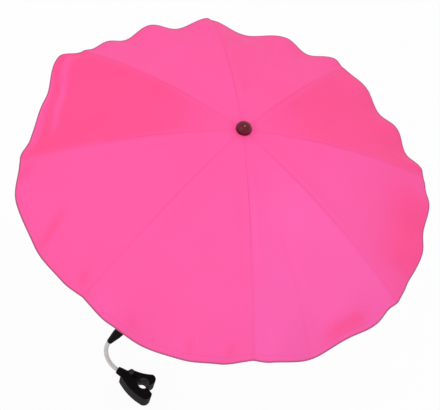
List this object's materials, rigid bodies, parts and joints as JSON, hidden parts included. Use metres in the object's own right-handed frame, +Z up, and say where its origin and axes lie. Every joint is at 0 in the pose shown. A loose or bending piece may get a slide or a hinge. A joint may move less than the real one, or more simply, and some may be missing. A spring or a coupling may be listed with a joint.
{
  "type": "pram parasol",
  "caption": "Folding pram parasol with a gored fabric canopy on hinged ribs, a tilting pole, a bendable neck and a tube clamp with a moving jaw.",
  "frame": {"origin": "centre of the tube that the clamp's jaws grip", "axes": "+Z up along the canopy's axis and the gripped tube's axis, +X from the neck's end towards the jaws' mouth"},
  "size_m": [0.7098, 0.7098, 0.7836],
  "materials": {
    "cloth": "woven, satin",
    "cap": "glossy",
    "washer": "matte",
    "moulding": "matte",
    "tips": "matte",
    "wire": "bright",
    "ribs": "satin",
    "pole": "satin",
    "button": "glossy",
    "bolt": "bright",
    "socket": "satin",
    "neck": "satin",
    "clamp": "satin",
    "pads": "matte"
  },
  "bodies": {
    "clamp": {"clamp_body": "clamp", "pivot_bolt": "bolt", "body_pad": "pads", "gooseneck": "neck"},
    "clamp_jaw": {"clamp_jaw": "clamp", "jaw_pad": "pads"},
    "clamp_knob": {"clamp_knob": "clamp"},
    "holder": {"pole_socket": "socket"},
    "lower_pole": {"lower_pole": "pole", "tilt_tongue": "moulding", "tilt_pin": "bolt"},
    "head": {"upper_pole": "pole", "tilt_fork": "moulding", "crown_notch": "moulding", "crown_wire": "wire", "canopy_washer": "washer", "finial_cap": "cap"},
    "tilt_button": {"tilt_button": "button"},
    "runner": {"runner": "moulding", "runner_spring": "wire"},
    "rib_1": {"rib_1": "ribs", "rib_tip_1": "tips", "canopy_panel_1": "cloth"},
    "stretcher_1": {"stretcher_1": "ribs"},
    "rib_2": {"rib_2": "ribs", "rib_tip_2": "tips", "canopy_panel_2": "cloth"},
    "stretcher_2": {"stretcher_2": "ribs"},
    "rib_3": {"rib_3": "ribs", "rib_tip_3": "tips", "canopy_panel_3": "cloth"},
    "stretcher_3": {"stretcher_3": "ribs"},
    "rib_4": {"rib_4": "ribs", "rib_tip_4": "tips", "canopy_panel_4": "cloth"},
    "stretcher_4": {"stretcher_4": "ribs"},
    "rib_5": {"rib_5": "ribs", "rib_tip_5": "tips", "canopy_panel_5": "cloth"},
    "stretcher_5": {"stretcher_5": "ribs"},
    "rib_6": {"rib_6": "ribs", "rib_tip_6": "tips", "canopy_panel_6": "cloth"},
    "stretcher_6": {"stretcher_6": "ribs"},
    "rib_7": {"rib_7": "ribs", "rib_tip_7": "tips", "canopy_panel_7": "cloth"},
    "stretcher_7": {"stretcher_7": "ribs"},
    "rib_8": {"rib_8": "ribs", "rib_tip_8": "tips", "canopy_panel_8": "cloth"},
    "stretcher_8": {"stretcher_8": "ribs"}
  },
  "joints": [
    {"name": "jaw_hinge", "type": "hinge", "parent": "clamp", "child": "clamp_jaw", "pos_m": [-0.036, 0.008, 0], "axis": [0, 0, 1], "range_deg": [-3, 35]},
    {"name": "knob_turn", "type": "hinge", "parent": "clamp", "child": "clamp_knob", "pos_m": [-0.036, 0.008, -0.028], "axis": [0, 0, 1], "continuous": true},
    {"name": "neck_bend", "type": "hinge", "parent": "clamp", "child": "holder", "pos_m": [-0.10195, 0.00794, 0.02308], "axis": [0, 0.8966, -0.4429], "range_deg": [-45, 25], "deforming": ["gooseneck"]},
    {"name": "pole_turn", "type": "hinge", "parent": "holder", "child": "lower_pole", "pos_m": [-0.09819, 0.04247, 0.09296], "axis": [0.2764, 0.4257, 0.8616], "continuous": true},
    {"name": "tilt", "type": "hinge", "parent": "lower_pole", "child": "head", "pos_m": [-0.01388, 0.17229, 0.35576], "axis": [0.8387, -0.5446, 0], "range_deg": [-30.5, 14.5]},
    {"name": "tilt_press", "type": "slide", "parent": "head", "child": "tilt_button", "axis": [-0.8387, 0.5446, 0], "range_m": [0, 0.002], "stiffness_N_per_m": 600, "springref_m": -0.003},
    {"name": "runner_slide", "type": "slide", "parent": "head", "child": "runner", "axis": [0, 0, -1], "range_m": [0, 0.17245], "deforming": ["canopy_panel_1", "canopy_panel_2", "canopy_panel_3", "canopy_panel_4", "canopy_panel_5", "canopy_panel_6", "canopy_panel_7", "canopy_panel_8"]},
    {"name": "rib_hinge_1", "type": "hinge", "parent": "head", "child": "rib_1", "pos_m": [-0.01561, 0.16295, 0.72876], "axis": [0.9833, -0.1822, 0], "range_deg": [-0.05, 65.05]},
    {"name": "stretcher_hinge_1", "type": "hinge", "parent": "rib_1", "child": "stretcher_1", "pos_m": [-0.03904, 0.03653, 0.70642], "axis": [0.9833, -0.1822, 0], "range_deg": [-110.91, 0.05]},
    {"name": "rib_hinge_2", "type": "hinge", "parent": "head", "child": "rib_2", "pos_m": [-0.0085, 0.16446, 0.72876], "axis": [0.8241, 0.5664, 0], "range_deg": [-0.05, 65.05]},
    {"name": "stretcher_hinge_2", "type": "hinge", "parent": "rib_2", "child": "stretcher_2", "pos_m": [0.06433, 0.0585, 0.70642], "axis": [0.8241, 0.5664, 0], "range_deg": [-110.91, 0.05]},
    {"name": "rib_hinge_3", "type": "hinge", "parent": "head", "child": "rib_3", "pos_m": [-0.00454, 0.17056, 0.72876], "axis": [0.1822, 0.9833, 0], "range_deg": [-0.05, 65.05]},
    {"name": "stretcher_hinge_3", "type": "hinge", "parent": "rib_3", "child": "stretcher_3", "pos_m": [0.12188, 0.14713, 0.70642], "axis": [0.1822, 0.9833, 0], "range_deg": [-110.91, 0.05]},
    {"name": "rib_hinge_4", "type": "hinge", "parent": "head", "child": "rib_4", "pos_m": [-0.00605, 0.17767, 0.72876], "axis": [-0.5664, 0.8241, 0], "range_deg": [-0.05, 65.05]},
    {"name": "stretcher_hinge_4", "type": "hinge", "parent": "rib_4", "child": "stretcher_4", "pos_m": [0.09991, 0.2505, 0.70642], "axis": [-0.5664, 0.8241, 0], "range_deg": [-110.91, 0.05]},
    {"name": "rib_hinge_5", "type": "hinge", "parent": "head", "child": "rib_5", "pos_m": [-0.01215, 0.18163, 0.72876], "axis": [-0.9833, 0.1822, 0], "range_deg": [-0.05, 65.05]},
    {"name": "stretcher_hinge_5", "type": "hinge", "parent": "rib_5", "child": "stretcher_5", "pos_m": [0.01128, 0.30806, 0.70642], "axis": [-0.9833, 0.1822, 0], "range_deg": [-110.91, 0.05]},
    {"name": "rib_hinge_6", "type": "hinge", "parent": "head", "child": "rib_6", "pos_m": [-0.01926, 0.18012, 0.72876], "axis": [-0.8241, -0.5664, 0], "range_deg": [-0.05, 65.05]},
    {"name": "stretcher_hinge_6", "type": "hinge", "parent": "rib_6", "child": "stretcher_6", "pos_m": [-0.09209, 0.28608, 0.70642], "axis": [-0.8241, -0.5664, 0], "range_deg": [-110.91, 0.05]},
    {"name": "rib_hinge_7", "type": "hinge", "parent": "head", "child": "rib_7", "pos_m": [-0.02322, 0.17402, 0.72876], "axis": [-0.1822, -0.9833, 0], "range_deg": [-0.05, 65.05]},
    {"name": "stretcher_hinge_7", "type": "hinge", "parent": "rib_7", "child": "stretcher_7", "pos_m": [-0.14964, 0.19745, 0.70642], "axis": [-0.1822, -0.9833, 0], "range_deg": [-110.91, 0.05]},
    {"name": "rib_hinge_8", "type": "hinge", "parent": "head", "child": "rib_8", "pos_m": [-0.02171, 0.16691, 0.72876], "axis": [0.5664, -0.8241, 0], "range_deg": [-0.05, 65.05]},
    {"name": "stretcher_hinge_8", "type": "hinge", "parent": "rib_8", "child": "stretcher_8", "pos_m": [-0.12767, 0.09409, 0.70642], "axis": [0.5664, -0.8241, 0], "range_deg": [-110.91, 0.05]}
  ],
  "couplings": [
    {"joint": "rib_hinge_1", "follows": "runner_slide", "rad_per_m": 6.5786},
    {"joint": "stretcher_hinge_1", "follows": "runner_slide", "rad_per_m": -11.22},
    {"joint": "rib_hinge_2", "follows": "runner_slide", "rad_per_m": 6.5786},
    {"joint": "stretcher_hinge_2", "follows": "runner_slide", "rad_per_m": -11.22},
    {"joint": "rib_hinge_3", "follows": "runner_slide", "rad_per_m": 6.5786},
    {"joint": "stretcher_hinge_3", "follows": "runner_slide", "rad_per_m": -11.22},
    {"joint": "rib_hinge_4", "follows": "runner_slide", "rad_per_m": 6.5786},
    {"joint": "stretcher_hinge_4", "follows": "runner_slide", "rad_per_m": -11.22},
    {"joint": "rib_hinge_5", "follows": "runner_slide", "rad_per_m": 6.5786},
    {"joint": "stretcher_hinge_5", "follows": "runner_slide", "rad_per_m": -11.22},
    {"joint": "rib_hinge_6", "follows": "runner_slide", "rad_per_m": 6.5786},
    {"joint": "stretcher_hinge_6", "follows": "runner_slide", "rad_per_m": -11.22},
    {"joint": "rib_hinge_7", "follows": "runner_slide", "rad_per_m": 6.5786},
    {"joint": "stretcher_hinge_7", "follows": "runner_slide", "rad_per_m": -11.22},
    {"joint": "rib_hinge_8", "follows": "runner_slide", "rad_per_m": 6.5786},
    {"joint": "stretcher_hinge_8", "follows": "runner_slide", "rad_per_m": -11.22}
  ]
}
